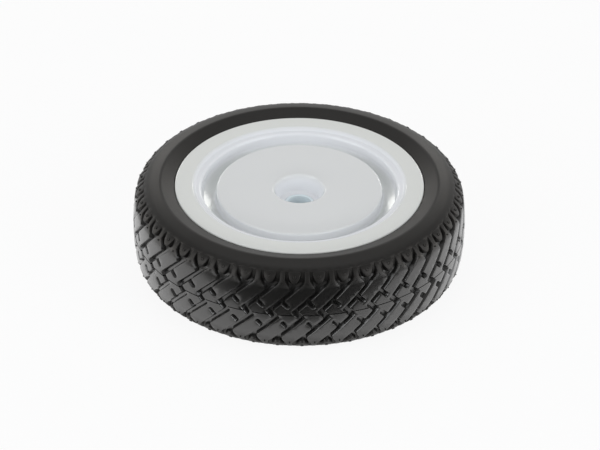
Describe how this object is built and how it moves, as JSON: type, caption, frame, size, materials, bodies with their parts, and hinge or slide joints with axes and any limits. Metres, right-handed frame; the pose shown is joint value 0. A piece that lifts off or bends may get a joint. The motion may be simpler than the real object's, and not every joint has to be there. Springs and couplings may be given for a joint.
{
  "type": "lawn mower wheel",
  "caption": "Lawn mower wheel: black rubber tyre with a slanted lug tread on a smooth white plastic rim with a ring groove, a recessed bolt seat and a bushed axle bore.",
  "frame": {"origin": "centre of the wheel, on the axle in the middle plane of the tyre", "axes": "+Z along the axle, out of the wheel's outer face; the wheel lies flat on its inner side"},
  "size_m": [0.1778, 0.1778, 0.0518],
  "materials": {
    "tyre_rubber": "satin black rubber",
    "rim_plastic": "smooth white",
    "bush_plastic": "natural"
  },
  "bodies": {
    "root": {"tyre": "tyre_rubber", "rim": "rim_plastic", "hub_bush": "bush_plastic"}
  },
  "joints": []
}
